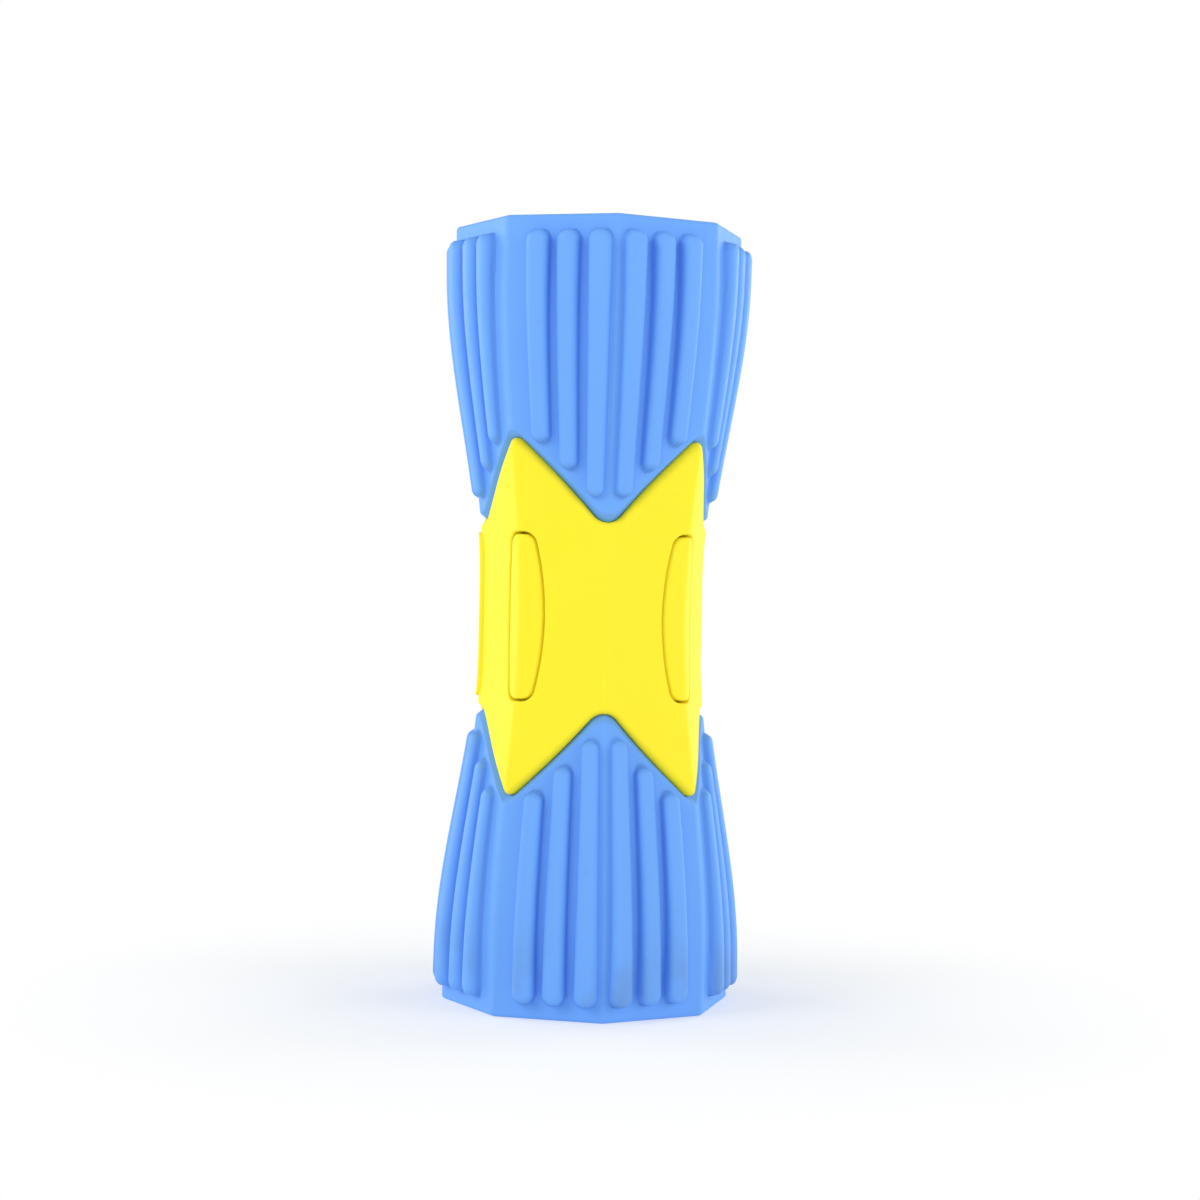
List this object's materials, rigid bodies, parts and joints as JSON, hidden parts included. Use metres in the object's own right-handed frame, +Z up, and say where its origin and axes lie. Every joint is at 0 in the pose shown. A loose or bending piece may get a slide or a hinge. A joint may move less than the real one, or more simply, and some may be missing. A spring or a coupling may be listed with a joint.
{
  "type": "hourglass rubber toy barrel",
  "caption": "Hourglass octagonal rubber toy barrel with ribbed flaring ends, a star-edged waist band with press-in lens pads, a pull-out end plug and a squeaker.",
  "frame": {"origin": "middle of the base, in the plane of the lower rim that the barrel stands on", "axes": "+Z up along the barrel's axis towards the plug; +X and +Y through two of the band's valley ridges, with the plain tablet beside the -X ridge"},
  "size_m": [0.0648, 0.0648, 0.165],
  "materials": {
    "blue_rubber": "matt sky-blue moulded rubber, fine grain",
    "yellow_rubber": "matt lemon-yellow moulded rubber, smooth",
    "squeaker_plastic": "satin off-white moulded plastic",
    "sleeve_plastic": "satin natural plastic",
    "reed_film": "glossy stiff film"
  },
  "bodies": {
    "barrel": {"upper_shell": "blue_rubber", "lower_shell": "blue_rubber", "joining_sleeve": "sleeve_plastic", "waist_band": "yellow_rubber", "end_disc": "blue_rubber", "squeaker_cup": "squeaker_plastic", "squeaker_cover": "squeaker_plastic", "reed_carrier": "squeaker_plastic"},
    "plug": {"end_plug": "yellow_rubber"},
    "pad_back_right": {"pad_back_right": "yellow_rubber"},
    "pad_back_left": {"pad_back_left": "yellow_rubber"},
    "pad_front_left": {"pad_front_left": "yellow_rubber"},
    "pad_front_right": {"pad_front_right": "yellow_rubber"},
    "reed": {"squeaker_reed": "reed_film"}
  },
  "joints": [
    {"name": "plug_pull", "type": "slide", "parent": "barrel", "child": "plug", "axis": [0, 0, 1], "range_m": [0, 0.04]},
    {"name": "pad_back_right_press", "type": "slide", "parent": "barrel", "child": "pad_back_right", "axis": [-0.7071, -0.7071, 0], "range_m": [0, 0.002], "stiffness_N_per_m": 2500},
    {"name": "pad_back_left_press", "type": "slide", "parent": "barrel", "child": "pad_back_left", "axis": [0.7071, -0.7071, 0], "range_m": [0, 0.002], "stiffness_N_per_m": 2500},
    {"name": "pad_front_left_press", "type": "slide", "parent": "barrel", "child": "pad_front_left", "axis": [0.7071, 0.7071, 0], "range_m": [0, 0.002], "stiffness_N_per_m": 2500},
    {"name": "pad_front_right_press", "type": "slide", "parent": "barrel", "child": "pad_front_right", "axis": [-0.7071, 0.7071, 0], "range_m": [0, 0.002], "stiffness_N_per_m": 2500},
    {"name": "reed_flex", "type": "hinge", "parent": "barrel", "child": "reed", "pos_m": [0.00135, 0, 0.0138], "axis": [0, -1, 0], "range_deg": [-1.5, 6], "stiffness_Nm_per_rad": 0.0002}
  ]
}
